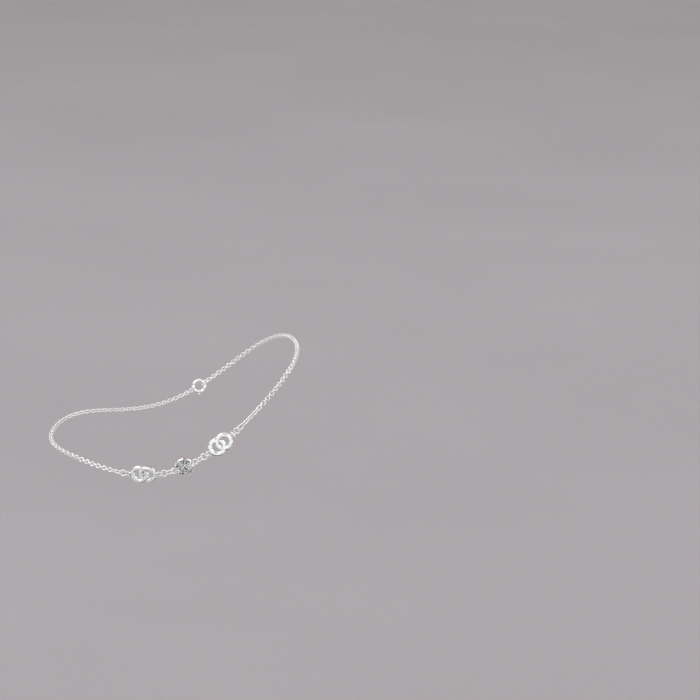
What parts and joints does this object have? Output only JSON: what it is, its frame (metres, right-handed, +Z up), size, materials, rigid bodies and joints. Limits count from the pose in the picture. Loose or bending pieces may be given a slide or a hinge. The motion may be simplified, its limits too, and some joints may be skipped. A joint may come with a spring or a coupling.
{
  "type": "anklet",
  "caption": "Fine silver chain anklet in its worn form, with linked double rings either side of a round disc paved with clear stones and a plain ring clasp.",
  "frame": {"origin": "middle of the opening for the ankle, half way between heel end and instep end and between the two sides", "axes": "+Z up the leg, +X to the toes, the near side with the disc faces -Y and the clasp is on +Y"},
  "size_m": [0.0916, 0.0614, 0.0456],
  "materials": {
    "silver_chain": "bright polished silver wire",
    "silver_band": "bright polished silver",
    "silver_ring": "bright polished silver wire",
    "silver_setting": "bright silver with bead prongs",
    "clear_stone": "clear cut stone"
  },
  "bodies": {
    "root": {"chain_heel": "silver_chain", "chain_instep": "silver_chain", "double_ring_heel": "silver_band", "double_ring_instep": "silver_band", "tie_link_heel_outer": "silver_ring", "tie_link_heel_inner": "silver_ring", "tie_link_instep_inner": "silver_ring", "tie_link_instep_outer": "silver_ring", "outer_ring_heel": "silver_ring", "outer_ring_instep": "silver_ring", "lead_ring_instep": "silver_ring", "inner_ring_heel": "silver_ring", "inner_ring_instep": "silver_ring", "middle_ring_heel": "silver_ring", "middle_ring_instep": "silver_ring", "disc_ring_heel": "silver_ring", "disc_ring_instep": "silver_ring", "end_ring": "silver_ring", "stone_disc": "silver_setting", "pave_stones": "clear_stone", "clasp": "silver_ring"}
  },
  "joints": []
}
